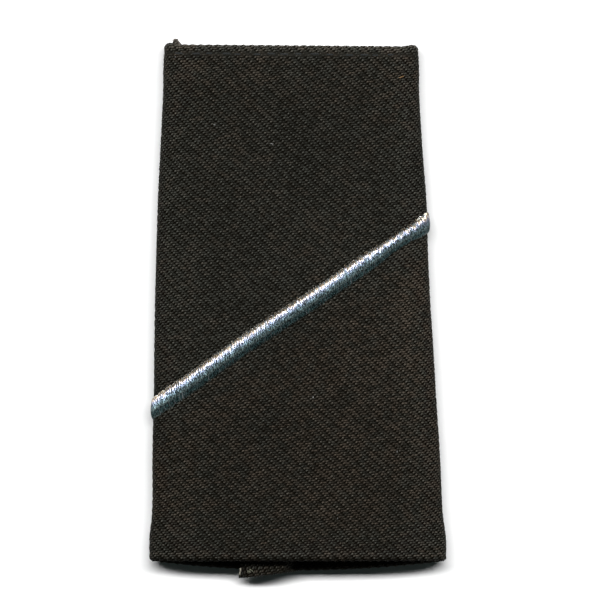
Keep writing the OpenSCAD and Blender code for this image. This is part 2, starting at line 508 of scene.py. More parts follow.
# Painted shade: the wide rim, turned away from the light, darkens along a ragged line that follows the ribs
WIDE_RIM_SHADE = (SLEEVE_L - 0.9, SLEEVE_L - 0.1, -0.60)
RAGGED = 0.28
# In the narrow crease the weave is pressed towards one tone: the crease's width, the tone, by how much
PRESSED_W, PRESSED_TONE, PRESSED_BY = 0.36, 0.27, 0.65


def from_narrow_end(f, picks):
    """Millimetres from the narrow end."""
    return f.math("SUBTRACT", f.math("DIVIDE", picks, PICKS_PER_MM), QUARTER_RIM - RIM_R)


def below_bar(f, ends, picks):
    """Millimetres down the sleeve from the bar's middle line."""
    line = f.math("MULTIPLY", ends, math.tan(STRIPE_ANGLE) / ENDS_PER_MM)
    return f.math("ADD", f.math("MULTIPLY_ADD", picks, 1 / PICKS_PER_MM, -STRIPE_MID), line)


def every_fourth(f, number, phase):
    """A wave from -1 to 1 over every four threads."""
    return f.math("COSINE", f.math("MULTIPLY_ADD", number, math.pi / 2, phase))


def rib_wave(f, ends, picks):
    """1 along the ribs' crests and -1 between them."""
    return every_fourth(f, f.math("SUBTRACT", ends, picks), RIB_PHASE)


def row_wave(f, ends, picks):
    """1 along every fourth row of floats."""
    return every_fourth(f, f.math("MULTIPLY_ADD", picks, 3.0, ends), ROW_PHASE)


def band(f, d, start, end, amount):
    """0 at the start and the amount from the end on, whichever way it runs."""
    return f.ramp(d, start, end, 0.0, amount) if start < end else f.ramp(d, end, start, amount, 0.0)


def patch(f, x, d, at_x, at_d, width, length, amount):
    across = f.math("MULTIPLY", f.bell(x, at_x, width), amount)
    return f.math("MULTIPLY", across, f.bell(d, at_d, length))


def tone_and_light_edges(f, ends, picks):
    """How much lighter or darker the cloth is along its hems, rims, folds and pressed creases; on the rims
    and creases it is painted highlight and shade.
    """
    d = from_narrow_end(f, picks)
    x = f.math("DIVIDE", ends, ENDS_PER_MM)
    ragged = f.math("MULTIPLY_ADD", rib_wave(f, ends, picks), -RAGGED, d)
    total = f.add(1.0, *[band(f, d, *numbers) for numbers in TONE_AND_LIGHT_BANDS])
    total = f.add(total, band(f, ragged, *WIDE_RIM_SHADE))
    total = f.add(total, *[band(f, x, *numbers) for numbers in FOLD_TONES])
    total = f.add(total, *[patch(f, x, d, *numbers) for numbers in WORN_PATCHES])
    for middle, width, amount in TONE_AND_LIGHT_BELLS:
        total = f.math("MULTIPLY_ADD", f.bell(d, middle, width), amount, total)
    return total


def pressed(f, picks, lit):
    """The weave is pressed flat along the narrow hem's crease."""
    there = f.bell(from_narrow_end(f, picks), NARROW_CREASE, PRESSED_W)
    flatter = f.math("SUBTRACT", PRESSED_TONE, lit)
    return f.math("MULTIPLY_ADD", f.math("MULTIPLY", there, PRESSED_BY), flatter, lit)


def bead(f, ends, picks, start, lift, tilt, width, key):
    """One float of each pick: its shape, and a random number for each."""
    along = f.math("SUBTRACT", picks, lift)
    pick = f.math("FLOOR", along)
    up = f.math("SUBTRACT", f.math("SUBTRACT", along, pick), 0.5)
    across = f.math("SUBTRACT", f.math("SUBTRACT", ends, pick), start)
    number = f.math("FLOOR", f.math("DIVIDE", f.math("ADD", across, 2.0), 4.0))
    across = f.math("WRAP", f.math("MULTIPLY_ADD", up, tilt, across), 2.0, -2.0)
    round_up = f.math("COSINE", f.math("MULTIPLY", up, math.pi))
    shape = f.math("MULTIPLY", f.bell(across, 0.0, width), round_up)
    return shape, f.random(f.math("ADD", pick, key), number)


def uneven(f, shape, amount, chance):
    """The light on a float: no two are quite alike."""
    lit = f.math("MULTIPLY", shape, amount)
    return f.math("MULTIPLY", lit, f.math("MULTIPLY_ADD", chance, BEAD_SPREAD, 1.0 - BEAD_SPREAD / 2))


def weave_tone(f, ends, picks):
    row = f.math("MULTIPLY_ADD", row_wave(f, ends, picks), ROW_TONE, 1.0)
    return f.math("MULTIPLY_ADD", rib_wave(f, ends, picks), RIB_TONE, row)


def mottle(f, ends, picks, drift, chance):
    """How warm the dye looks: patchy, less so above the bar and at the wide end, more at the narrow one."""
    patches = f.noise(0.0022, 2.0)
    warmth = f.math("ADD", f.math("MULTIPLY", patches, 0.55), f.math("MULTIPLY", chance, 0.15))
    return f.add(
        warmth,
        f.math("MULTIPLY", drift, 0.3),
        f.ramp(below_bar(f, ends, picks), -2, 9, -0.13, 0.0),
        f.ramp(picks, 6 * PICKS_PER_MM, 16 * PICKS_PER_MM, 0.075, 0.0),
        f.ramp(picks, 90 * PICKS_PER_MM, 96 * PICKS_PER_MM, 0.0, -0.07))


def twill_finish(name, gap_shade=GAP_SHADE, light=PALE_WEAR_AND_HIGHLIGHT, warm=WARM, cool=COOL, edge_tone_and_light=True):
    """Black worsted twill: two floats to each pick, one brighter, in uneven yarn with mottled dye. The
    floats' bright beads are partly painted highlight where they face the light.
    """
    f = Finish(name)
    ends, picks, _ = f.split(f.node("ShaderNodeUVMap", uv_map="threads").outputs[0])
    # The bright beads sit on the floats' upper parts: painted highlight where they face the light
    bright, bright_chance = bead(f, ends, picks, start=-1.0, lift=0.0, tilt=0.62, width=0.38, key=7.0)
    dim, dim_chance = bead(f, ends, picks, start=0.58, lift=-0.16, tilt=0.40, width=0.75, key=9007.0)
    fuzz = f.noise(0.00022, 2.0)
    drift = f.noise(0.012, 2.0)
    lit = f.math("ADD", uneven(f, bright, 1.0, bright_chance), uneven(f, dim, 0.55, dim_chance))
    lit = f.math("MULTIPLY", lit, f.math("MULTIPLY_ADD", fuzz, 3.4, -0.69))
    lit = f.math("MULTIPLY", lit, f.math("MULTIPLY_ADD", drift, 0.45, 0.775))
    lit = f.math("MULTIPLY", lit, weave_tone(f, ends, picks))
    if edge_tone_and_light:
        lit = pressed(f, picks, f.math("MULTIPLY", lit, tone_and_light_edges(f, ends, picks)))
    lit = f.math("MULTIPLY_ADD", lit, 1.06, -0.012)
    hue = f.mix(f.ramp(mottle(f, ends, picks, drift, dim_chance), 0.30, 0.70), cool, warm)
    # Where the weave is least lit it turns to the gaps' painted shade
    body = f.mix(lit, gap_shade, hue)
    # The brightest cloth, partly painted highlight, turns towards a pale tone
    f.set(Base_Color=f.mix(f.ramp(lit, 1.1, 1.9, 0.0, 0.4), body, light))
    f.set(Roughness=0.6, Specular_IOR_Level=0.015)
    grain = f.bump(fuzz, 0.00003, 0.5)
    f.set(Normal=f.bump(f.math("MULTIPLY_ADD", dim, 0.8, bright), 0.00007, 1.0, under=grain))
    return f.material


def thread_finish(name, tint, roughness=0.8, metallic=0.0, spread=0.2):
    """Plied thread: each strand a little different, with a fine twist."""
    f = Finish(name)
    island = f.node("ShaderNodeNewGeometry").outputs["Random Per Island"]
    fine = f.noise(0.00018, 3.0)
    shade = f.math("MULTIPLY_ADD", island, spread, 1.0 - spread)
    shade = f.math("MULTIPLY", shade, f.math("MULTIPLY_ADD", fine, 0.5, 0.75))
    f.set(Base_Color=f.mix(shade, colour(0, 0, 0), colour(*tint)))
    f.set(Roughness=roughness, Metallic=metallic)
    f.set(Normal=f.bump(fine, 0.00004, 0.7))
    return f.material


# The silver thread's tint across the bar, from its lower edge at 0 to its upper one at 1. Besides the
# silver's own colour it holds painted light: painted shade on the lower flank and on the upper edge's far
# side, painted reflection over the top, and painted highlight on the tips
SILVER_PAINTED_LIGHT_TINT = (
    # painted shade: under the lower edge, and the teal lower flank
    (0, 0.30, 0.42, 0.42),
    (0.17, 0.09, 0.19, 0.20),
    (0.3, 0.14, 0.22, 0.24),
    (0.41, 0.35, 0.48, 0.48),
    # painted reflection: blue-grey over the top
    (0.52, 0.28, 0.42, 0.47),
    (0.7, 0.32, 0.37, 0.50),
    (0.74, 0.41, 0.44, 0.55),
    # the upper shoulder, then its warm far side in painted shade
    (0.79, 0.58, 0.55, 0.63),
    (0.83, 0.56, 0.48, 0.42),
    (0.88, 0.42, 0.36, 0.27),
    # painted highlight: the strands' bright tips
    (0.92, 0.86, 0.71, 0.49),
    (0.96, 1.00, 1.00, 1.00),
    (1, 0.95, 0.94, 0.80),
)


def silver_finish():
    """Silver thread, streaked along each strand, its tint painted with light and shade across the bar: teal
    below, blue-grey over the top, white tips.
    """
    f = Finish("silver_thread")
    across, number, _ = f.split(f.node("ShaderNodeUVMap", uv_map="threads").outputs[0])
    along_strand = f.join(f.math("MULTIPLY", across, 4.5), f.math("MULTIPLY", number, 0.8))
    streaks = f.noise(1.0, 2.0, vector=along_strand)
    tint = f.stops(f.math("MULTIPLY_ADD", across, 0.5, 0.5),
                   *[(place_on, colour(r, g, b)) for place_on, r, g, b in SILVER_PAINTED_LIGHT_TINT])
    darkest_streak = f.ramp(across, 0.2, 0.6, 0.14, 0.36)
    streaked = f.ramp(streaks, 0.40, 0.60, darkest_streak, 1.0)
    rise = f.split(f.node("ShaderNodeTexCoord").outputs["Object"])[2]
    rise = f.math("MULTIPLY_ADD", f.ramp(across, 0.0, 0.5), 0.002, rise)
    # Painted shade: darker where the bar runs down round a fold, less so on its upper half
    painted_shade_round_fold = f.ramp(rise, 0.0030, 0.0066, 0.34, 1.0)
    shade = f.math("MULTIPLY", streaked, painted_shade_round_fold)
    f.set(Base_Color=f.mix(shade, colour(0, 0, 0), tint))
    f.set(Roughness=0.31, Metallic=1.0)
    f.set(Normal=f.bump(streaks, 0.00005, 0.6))
    return f.material


PAPER = colour(0.9, 0.9, 0.9)


def floor_finish():
    f = Finish("floor_paper")
    f.set(Base_Color=PAPER, Roughness=0.9, Specular_IOR_Level=0.1)
    return f.material


# The sleeve

# Columns of the mesh on either side of the front's middle, and then on each side of the back
FINE_HALF = 100
BACK_COLUMNS = 52


def wall_rows():
    """The wall's path as rows of (distance, inset, flat place, pattern place), out over the narrow rim,
    down the outside, in over the wide rim and back up the inside."""
    outside = 2 * QUARTER_RIM + SLEEVE_L - 2 * RIM_R
    step = THREAD_STEP / PICKS_PER_MM
    count = int(round((outside + 2 * QUARTER_RIM) / step / 2)) * 2 + 1
    p = np.linspace(-QUARTER_RIM, outside + QUARTER_RIM, count)
    narrow = np.clip(p, -QUARTER_RIM, QUARTER_RIM) / RIM_R
    wide = np.clip(p - outside, -QUARTER_RIM, QUARTER_RIM) / RIM_R
    d = RIM_R + np.clip(p - QUARTER_RIM, 0, SLEEVE_L - 2 * RIM_R)
    d = np.where(p < QUARTER_RIM, RIM_R * (1 - np.cos(narrow)), d)
    d = np.where(p > outside - QUARTER_RIM, SLEEVE_L - RIM_R * (1 - np.cos(wide)), d)
    inset = RIM_R * (1 - np.sin(narrow)) * (p < QUARTER_RIM)
    inset = np.where(p > outside - QUARTER_RIM, RIM_R * (1 + np.sin(wide)), inset)
    outer = np.stack([d, inset, p, p], axis=1)
    inner_d = np.array([SLEEVE_L - 3, SLEEVE_L - HEM_DEPTH, SLEEVE_L - HEM_DEPTH - LAYER_STEP,
                        80, 60, 40, 20, HEM_DEPTH + LAYER_STEP, HEM_DEPTH, 3])
    in_hem = (inner_d <= HEM_DEPTH) | (inner_d >= SLEEVE_L - HEM_DEPTH)
    inner_inset = np.where(in_hem, HEM_WALL, CLOTH)
    flat = inner_d + QUARTER_RIM - RIM_R
    pattern = np.where(inner_d > HEM_DEPTH, 2 * outside - flat, -flat)
    inner = np.stack([inner_d, inner_inset, flat, pattern], axis=1)
    return outer, inner


def column_places(d, p):
    """Where each column of the mesh lies on the cloth: along the warp in front, then on to the back seam."""
    fine = np.arange(-FINE_HALF, FINE_HALF + 1) * THREAD_STEP
    x = (fine[None, :] + WARP_LEAN * (p[:, None] - SLEEVE_L / 2)) / ENDS_PER_MM
    front = x - midline(d)[:, None]
    share = np.arange(1, BACK_COLUMNS + 1)[None, :] / BACK_COLUMNS
    seam = half_girth(d)[:, None] - 0.05
    right = front[:, -1:] + (seam - front[:, -1:]) * share
    left = front[:, :1] - (seam + front[:, :1]) * share
    return np.concatenate([left[:, ::-1], front, right], axis=1)


def sleeve_relief(q, full_d, inset, is_outer, ends, picks):
    """How far threads, the ribs along rims and folds, and the pressed creases stand out or in."""
    in_front = smooth(BACK_COLUMNS - 2, BACK_COLUMNS + 2, np.arange(q.shape[1]))
    in_front = np.minimum(in_front, in_front[::-1])[None, :]
    relief = RELIEF * (twill(ends, picks) - 0.62) * is_outer * (0.5 + 0.5 * in_front)
    rib = np.maximum(np.cos(2 * np.pi * (ends - picks - RIB_CREST) / 4), -0.3)
    v = fold_share(q, full_d)
    on_rim = smooth(1.0, 0.2, full_d) + 1.3 * smooth(SLEEVE_L - 1.0, SLEEVE_L - 0.2, full_d)
    on_fold = smooth(0.75, 0.9, v) * smooth(1.6, 1.3, v)
    relief = relief + SCALLOP * rib * np.maximum(on_rim, 0.7 * on_fold) * is_outer
    crease = np.exp(-((full_d - CREASE_FROM_EDGE) / CREASE_W) ** 2)
    crease = crease + np.exp(-((SLEEVE_L - full_d - CREASE_FROM_EDGE) / CREASE_W) ** 2)
    return relief - CREASE_DEPTH * crease * is_outer * (inset == 0)[:, None]


def sleeve_grid():
    outer, inner = wall_rows()
    rows = np.concatenate([outer, inner])
    d, inset, p, pattern = rows.T
    q = column_places(d, p)
    full_d = np.broadcast_to(d[:, None], q.shape)
    points = place(np.where(q < 0, -1.0, 1.0), full_d, fold_share(q, full_d), inset[:, None])
    down = np.roll(points, -1, axis=0) - np.roll(points, 1, axis=0)
    right = np.roll(points, -1, axis=1) - np.roll(points, 1, axis=1)
    outward = unit(np.cross(down, right))

    ends, picks = threads_at(q + midline(full_d), pattern[:, None] + 0 * q)
    ends, picks = wander(ends, picks)
    is_outer = (np.arange(len(rows)) < len(outer))[:, None]
    relief = sleeve_relief(q, full_d, inset, is_outer, ends, picks)
    return points + outward * relief[..., None], np.stack([ends, picks], axis=-1), len(outer)


def quad(number, rows, columns):
    """The face between two rows and two columns of a numbered grid."""
    (r, below), (c, e) = rows, columns
    return number[r, c], number[below, c], number[below, e], number[r, e]


def outer_faces(number, columns, outer):
    """Fine quads in front, coarser ones on the back, and five-sided ones where they meet."""
    left, right = BACK_COLUMNS, columns - 1 - BACK_COLUMNS
    faces = []
    for r in range(outer - 1):
        for c in range(left, right):
            faces.append(quad(number, (r, r + 1), (c, c + 1)))
    for r in range(0, outer - 1, 2):
        for c in list(range(left - 1)) + list(range(right + 1, columns - 1)) + [columns - 1]:
            faces.append(quad(number, (r, r + 2), (c, (c + 1) % columns)))
        c = left
        faces.append((number[r, c - 1], number[r + 2, c - 1],
                      number[r + 2, c], number[r + 1, c], number[r, c]))
        c = right
        faces.append((number[r, c], number[r + 1, c], number[r + 2, c],
                      number[r + 2, c + 1], number[r, c + 1]))
    return faces


def sleeve_faces(rows, columns, outer):
    """Which points of the grid are used, and the faces between them."""
    number = -np.ones((rows, columns), dtype=int)
    used = np.ones((rows, columns), dtype=bool)
    coarse = np.ones(columns, dtype=bool)
    coarse[BACK_COLUMNS:columns - BACK_COLUMNS] = False
    odd_outer = (np.arange(rows) % 2 == 1) & (np.arange(rows) < outer)
    used[np.ix_(odd_outer, coarse)] = False
    number[used] = np.arange(used.sum())
    faces = outer_faces(number, columns, outer)
    for r in range(outer - 1, rows):
        for c in range(columns):
            faces.append(quad(number, (r, (r + 1) % rows), (c, (c + 1) % columns)))
    return used, [tuple(int(n) for n in face) for face in faces]


def make_sleeve():
    points, threads, outer = sleeve_grid()
    used, faces = sleeve_faces(points.shape[0], points.shape[1], outer)
    sleeve = mesh_object("sleeve_cloth", points[used], faces, threads[used])
    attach(sleeve, "root")
    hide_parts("sleeve")
    return sleeve


# The silver bar

STRAND_PITCH = 0.16
STRAND_R = 0.11
STRAND_POINTS = 17
STRAND_SIDES = 7
# The strands' upper ends stand in bunches so far apart
BUNCH_PITCH = 1.25
# How far the padding lies under the strands
PADDING_UNDER = 0.15
# How much narrower the bar gets on the right, and the share of its height that is left round a fold
NARROWS_BY = 0.22
HEIGHT_ROUND_FOLD = 0.55
# How far up and down from its middle the bar crosses the folds, and how far short of its ends it stops
CROSSING = 18.5
END_INSET = 0.9
UPPER_EDGE = STRIPE_W / 2 + 0.48
LOWER_EDGE = STRIPE_W / 2 - 0.05
# The strands run down the sleeve rather than square across the bar, with this slope off its length
STRAND_LEAN = 0.14

# Where the bar strays from a straight line: millimetres across the front, and how far up
BAR_STRAY = np.array([
    [-25.0, -0.04], [-18.0, -0.01], [-15.0, 0.16], [-11.0, 0.27], [-6.0, 0.26],
    [-1.5, 0.12], [3.0, 0.05], [8.0, 0.09], [12.5, 0.17], [17.0, 0.15],
    [19.5, 0.35], [22.0, 0.33], [24.5, 0.20], [27.0, 0.16],
])


def bar_line(q0):
    """How far down the sleeve the bar's middle lies at q0: straight as seen from above."""
    slope = math.tan(STRIPE_ANGLE)
    straight = STRIPE_MID - slope * q0
    v = fold_share(q0, straight)
    x, _ = wall_point(straight, np.minimum(v, 1.0), 0.0)
    run = np.sign(q0) * (x + 1.2 * np.maximum(v - 1, 0))
    stray = np.interp(q0, BAR_STRAY[:, 0], BAR_STRAY[:, 1])
    return STRIPE_MID - slope * run - stray / math.cos(STRIPE_ANGLE)


def bar_narrows(q0):
    """The bar's width as a share of its width at the left: it narrows towards the right end."""
    return 1 - NARROWS_BY * smooth(13, 21, q0) + NARROWS_BY * smooth(23, 26.5, q0)


def bar_height(u, skew=0.0):
    """The padded bar's height at u, -1 on its lower edge and 1 on its upper one."""
    u = u + skew * (1 - u * u)
    return STRIPE_H * np.maximum(0, 1 - u * u) ** np.where(u > 0, 0.5, 0.75)


def bar_point(q0, a, rise, lean=STRAND_LEAN):
    """A point over the cloth, a millimetres across the bar from its middle line at q0."""
    q = q0 - lean * a
    d = bar_line(q0) - a * (1 / math.cos(STRIPE_ANGLE) - math.tan(STRIPE_ANGLE) * lean)
    return on_cloth(q, d) + out_of_cloth(q, d) * np.asarray(rise)[..., None]


def bar_ends():
    """Where the bar's two ends lie, tucked under the side folds."""
    right = girth_at(STRIPE_MID - CROSSING, 1 + STRIPE_TUCK)
    left = girth_at(STRIPE_MID + CROSSING, 1 + STRIPE_TUCK)
    return -left + END_INSET, right - END_INSET


def round_fold(q0):
    """1 on the front, less where the bar is pulled tight round a side fold."""
    on_front = smooth(2.2, 5.6, on_cloth(q0, bar_line(q0))[..., 2])
    return HEIGHT_ROUND_FOLD + (1 - HEIGHT_ROUND_FOLD) * on_front


def teeth(q0, random):
    """The upper ends of the strands stand in small bunches, more so towards the right."""
    bunch = np.abs(((q0 / BUNCH_PITCH + 0.12 * waves(q0, 0 * q0, 5, 9)) % 1.0) - 0.5)
    amount = 0.05 + 0.30 * smooth(6, 26, q0)
    longer = amount * (0.25 - bunch) * 2 + 0.08 * waves(q0, 0 * q0, 0.9, 13)
    return longer + random.normal(0, 0.05, len(q0))


def make_strands():
    random = np.random.default_rng(3)
    left, right = bar_ends()
    q0 = np.arange(left, right, STRAND_PITCH)
    q0 = q0 + random.normal(0, 0.02, len(q0))
    u = np.linspace(-1, 1, STRAND_POINTS)[None, :]
    u = np.sign(u) * np.abs(u) ** 0.8
    longer = teeth(q0, random)[:, None]
    lower = (LOWER_EDGE + random.normal(0, 0.05, len(q0)))[:, None]
    a = np.where(u > 0, u * (UPPER_EDGE + longer), u * lower) * bar_narrows(q0)[:, None]
    skew = 0.13 * waves(q0, 0 * q0, 1.5, 14)[:, None]
    rise = SEWN_GAP + bar_height(u, skew) * round_fold(q0)[:, None]
    rise = rise + random.normal(0, 0.014, (len(q0), 1)) * (1 - u * u)
    rise = rise - STRAND_R * 0.6 - 0.2 * np.abs(u) ** 14
    lean = STRAND_LEAN + random.normal(0, 0.05, (len(q0), 1))
    paths = bar_point(q0[:, None], a, rise, lean)
    radius = STRAND_R * random.uniform(0.9, 1.08, len(q0))
    points, faces = tubes(paths, radius, sides=STRAND_SIDES)
    # Each point's place across the bar and its strand's number, for the silver's tint and streaks
    across = np.repeat((u - 0.8 * longer * (u > 0)).ravel(), STRAND_SIDES)
    number = np.repeat(np.arange(len(q0)), u.shape[1] * STRAND_SIDES)
    strands = mesh_object("stripe_threads", points, faces, np.stack([across, number], axis=-1))
    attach(strands, "root")
    return strands


def make_padding():
    left, right = bar_ends()
    q0 = np.linspace(left + 0.1, right - 0.1, 130)[:, None]
    turn = np.linspace(0, 2 * np.pi, 24, endpoint=False)[None, :]
    u = np.cos(turn) * 0.95
    a = np.where(u > 0, u * UPPER_EDGE, u * LOWER_EDGE) * bar_narrows(q0)
    top = np.sin(turn) > 0
    rise = np.where(top, SEWN_GAP + bar_height(u) * round_fold(q0) - PADDING_UNDER, 0.02)
    points = bar_point(q0 + 0 * u, a + 0 * q0, rise)
    faces = grid_faces(len(q0), points.shape[1], ring=True)
    count = points.shape[1]
    last = (len(q0) - 1) * count
    faces.append(tuple(range(count - 1, -1, -1)))
    faces.append(tuple(range(last, last + count)))
    padding = mesh_object("stripe_padding", points.reshape(-1, 3), faces)
    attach(padding, "root")
    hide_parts("stripe")
    return padding


# The seam allowance

LAYER_T = 0.34
LAYER_RELIEF = 0.08
# The left edges of the lower and the upper layer
ALLOWANCE_LEFT = (-ALLOWANCE_W, -ALLOWANCE_W + 0.9)
LAYER_GAP = 0.02
# The raw end curls up over its last millimetres by so much, the upper layer a little more
CURL_FROM = 10.0
CURL_LIFT = 3.0
UPPER_CURL = 0.35
# Its tip and its left corner droop again
TIP_DROOP = 0.8
CORNER_DROOP = 1.5
# Its weave is closer than the sleeve's
CLOSER = 1.5
# Its loose thread ends: so far apart, each drawn with so many points
FRAY_PITCH = 0.30
FIBRE_POINTS = 7


def allowance_point(x, d, layer):
    """The middle of an allowance layer; layer is 0 below and 1 on top, and its end curls up."""
    in_hem = smooth(HEM_DEPTH + 0.8, HEM_DEPTH, d)
    in_hem = in_hem + smooth(SLEEVE_L - HEM_DEPTH - 0.8, SLEEVE_L - HEM_DEPTH, d)
    floor = CLOTH + HEM_LAYER * np.clip(in_hem, 0, 1) + SEWN_GAP
    across = x / half_width(d)
    bow = BACK_BOW * (1 - across ** 2) * np.clip(d / SLEEVE_L, 0, 1) ** 6
    out = smooth(SLEEVE_L - 1.2, SLEEVE_L, d)
    y = NARROW_Y - d - bow + (ALLOWANCE_OUT + 0.3) * out * x / ALLOWANCE_W
    reach = NARROW_Y - y
    curl = smooth(SLEEVE_L - CURL_FROM, SLEEVE_L - 0.5, reach)
    free = smooth(0.5, 3.0, -x)
    lift = curl * (CURL_LIFT + UPPER_CURL * layer) * (0.35 + 0.65 * free)
    lift = lift - TIP_DROOP * smooth(SLEEVE_L, SLEEVE_L + 3.3, reach) * free
    corner = np.exp(-((x + ALLOWANCE_W) / 2.0) ** 2) * smooth(SLEEVE_L + 0.8, SLEEVE_L + 3.2, reach)
    lift = lift - CORNER_DROOP * corner
    z = floor + LAYER_T * (0.5 + layer) + LAYER_GAP * layer + lift + 0.05 * waves(x, d, 6, 30 + layer)
    return np.stack([x * (1 + 0.022 * out) + midline(d), y, z], axis=-1)


def cloth_layer(name, points, threads, thickness):
    """A woven layer: its middle surface thickened to a closed sheet."""
    rows, columns, _ = points.shape
    down = np.gradient(points, axis=0)
    right = np.gradient(points, axis=1)
    outward = unit(np.cross(down, right))
    relief = LAYER_RELIEF * (twill(threads[..., 0], threads[..., 1]) - 0.6)
    top = points + outward * (thickness / 2 + relief[..., None])
    bottom = points - outward * thickness / 2
    count = rows * columns
    faces = grid_faces(rows, columns)
    faces += [tuple(n + count for n in face[::-1]) for face in grid_faces(rows, columns)]
    edge = list(range(columns))
    edge += [r * columns + columns - 1 for r in range(1, rows)]
    edge += list(range(count - 2, count - columns - 1, -1))
    edge += [r * columns for r in range(rows - 2, 0, -1)]
    for a, b in zip(edge, edge[1:] + edge[:1]):
        faces.append((a, b, b + count, a + count))
    both = np.concatenate([top.reshape(-1, 3), bottom.reshape(-1, 3)])
    layer = mesh_object(name, both, faces, np.concatenate([threads.reshape(-1, 2)] * 2))
    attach(layer, "root")
    return layer


def make_allowance():
    layers = []
    right = -SEWN_GAP - 0.05
    far = SLEEVE_L - 12
    plain_rows = np.linspace(ALLOWANCE_START, far, 60)
    curled_rows = np.linspace(far, SLEEVE_L, 72)[1:]
    down = np.concatenate([plain_rows, curled_rows])[:, None]
    for layer, left in enumerate(ALLOWANCE_LEFT):
        across = np.linspace(left, right, 64)[None, :]
        x, d = np.broadcast_arrays(across, down)
        points = allowance_point(x, d, layer)
        ends, picks = threads_at(CLOSER * x + 3 * layer, CLOSER * d + 1.3 * layer)
        name = ("allowance_under", "allowance_over")[layer]
        piece = cloth_layer(name, points, np.stack([ends, picks], axis=-1), LAYER_T)
        layers.append(piece)
    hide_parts("seam_allowance")
    return layers


def fibres(name, roots, direction, length, radius, seed, curl):
    """Short loose fibres that start at roots and run off with some curl."""
    random = np.random.default_rng(seed)
    count = len(roots)
    run = unit(np.asarray(direction, float) + random.normal(0, 0.35, (count, 3)))
    bend = random.normal(0, curl, (count, 3))
    t = np.linspace(0, 1, FIBRE_POINTS)[None, :, None]
    reach = length * random.uniform(0.5, 1.15, (count, 1, 1))
    paths = roots[:, None, :] + reach * (t * run[:, None, :] + t * t * bend[:, None, :] * 0.5)
    points, faces = tubes(paths, radius * random.uniform(0.7, 1.2, count), sides=5)
    piece = mesh_object(name, points, faces)
    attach(piece, "root")
    return piece


def make_frays():
    """Loose thread ends along the allowance's raw end: dark ones, pale ones at its corner, a few bits."""
    random = np.random.default_rng(21)
    dark = []
    for layer, left in enumerate(ALLOWANCE_LEFT):
        x = np.arange(left + 0.15, -0.4, FRAY_PITCH)
        d = np.full_like(x, SLEEVE_L - 0.1)
        dark.append(allowance_point(x, d, layer))
    black = fibres("frayed_ends", np.concatenate(dark), (0, -1, 0.1),
                   length=0.28, radius=0.09, seed=22, curl=0.4)
    d = np.linspace(SLEEVE_L - 0.74, SLEEVE_L - 0.34, 12)
    edge = allowance_point(np.full(12, -ALLOWANCE_W + 0.12), d, 0) + (0, 0, 0.17)
    pale = fibres("pale_ends", edge, (-0.02, -1, -0.05), length=0.3, radius=0.11, seed=23, curl=0.15)
    x = random.uniform(-9.7, -9.1, 8)
    d = random.uniform(SLEEVE_L - 0.68, SLEEVE_L - 0.52, 8)
    bits = fibres("pale_bits", allowance_point(x, d, 1) + (0, 0, 0.2), (0.5, -0.6, 0.1),
                  length=0.5, radius=0.07, seed=24, curl=0.6)
    return black, pale, bits


# The hem's folded corner, its stitches and loose lint

CORNER_T = 0.4
CORNER_FIBRES = 22
STITCH_PITCH = 2.95
STITCH_R = 0.17


def corner_points(low, high):
    """The corner's middle surface: it narrows to a point that leans left, and its middle stands up."""
    centre = (low.x + high.x) / 2 / MM
    half = (high.x - low.x) / 2 / MM
    u = np.linspace(-1, 1, 15)[None, :]
    v = np.linspace(0, 1, 41)[:, None] ** 0.7
    point = smooth(0.74, 1.0, v) ** 0.8
    x = centre + half * u * (1.2 - 0.95 * point)
    x = x - 0.20 * smooth(0.55, 0.8, v) - 0.32 * half * point
    y = low.y / MM + (high.y - 0.0003 - low.y) / MM * v + 0 * u
    z = (low.z + high.z) / 2 / MM + 0.45 * (1 - u * u) * smooth(0.5, 0.8, v)
    z = z + 0.12 * waves(x, y, 1.1, 8)
    return np.stack(np.broadcast_arrays(x, y, z), axis=-1)[::-1]


def corner_roots(low, high):
    """Where the corner's loose fibres start."""
    random = np.random.default_rng(31)
    share = random.uniform(0, 1, CORNER_FIBRES)
    x = (low.x + high.x) / 2 / MM - 0.45 + (share - 0.5) * 1.1
    y = high.y / MM - 0.45 - 0.9 * np.abs(share - 0.35)
    z = random.uniform(low.z / MM + 0.3, high.z / MM + 0.5, CORNER_FIBRES)
    return np.stack([x, y, z], axis=-1)


def make_corner():
    """The hem's corner stands out of the narrow end as a small frayed point."""
    low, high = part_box("hem_corner")
    points = corner_points(low, high)
    ends, picks = threads_at(points[..., 0], NARROW_Y - points[..., 1])
    corner = cloth_layer("hem_corner_cloth", points, np.stack([ends, picks], axis=-1), CORNER_T)
    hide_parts("hem_corner")
    fray = fibres("corner_fray", corner_roots(low, high), (0.1, 0.5, 0.4),
                  length=0.4, radius=0.05, seed=32, curl=0.9)
    return corner, fray


def make_stitches():
    """Short stitches lie in the pressed crease of the narrow hem."""
    random = np.random.default_rng(41)
    starts = np.arange(-22.5, 21.5, STITCH_PITCH)
    starts = starts + random.normal(0, 0.35, len(starts))
    length = random.uniform(1.3, 2.0, len(starts))
    t = np.linspace(0, 1, 9)[None, :]
    q = starts[:, None] + length[:, None] * t
    d = np.full_like(q, CREASE_FROM_EDGE + 0.18) + random.normal(0, 0.06, (len(starts), 1))
    rise = -0.03 - 0.2 * (2 * t - 1) ** 4 + 0 * q
    paths = on_cloth(q, d) + out_of_cloth(q, d) * rise[..., None]
    points, faces = tubes(paths, STITCH_R, sides=8, flatten=0.5)
    stitches = mesh_object("hem_stitches", points, faces)
    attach(stitches, "root")
    return stitches


# Where lint lies, as millimetres across the front's middle and from the narrow end
LINT = (
    (-4.0, 19.1), (-15.0, 15.4), (3.5, 68.4), (7.7, 91.9), (19.5, 78.9), (-22.6, 2.5),
)


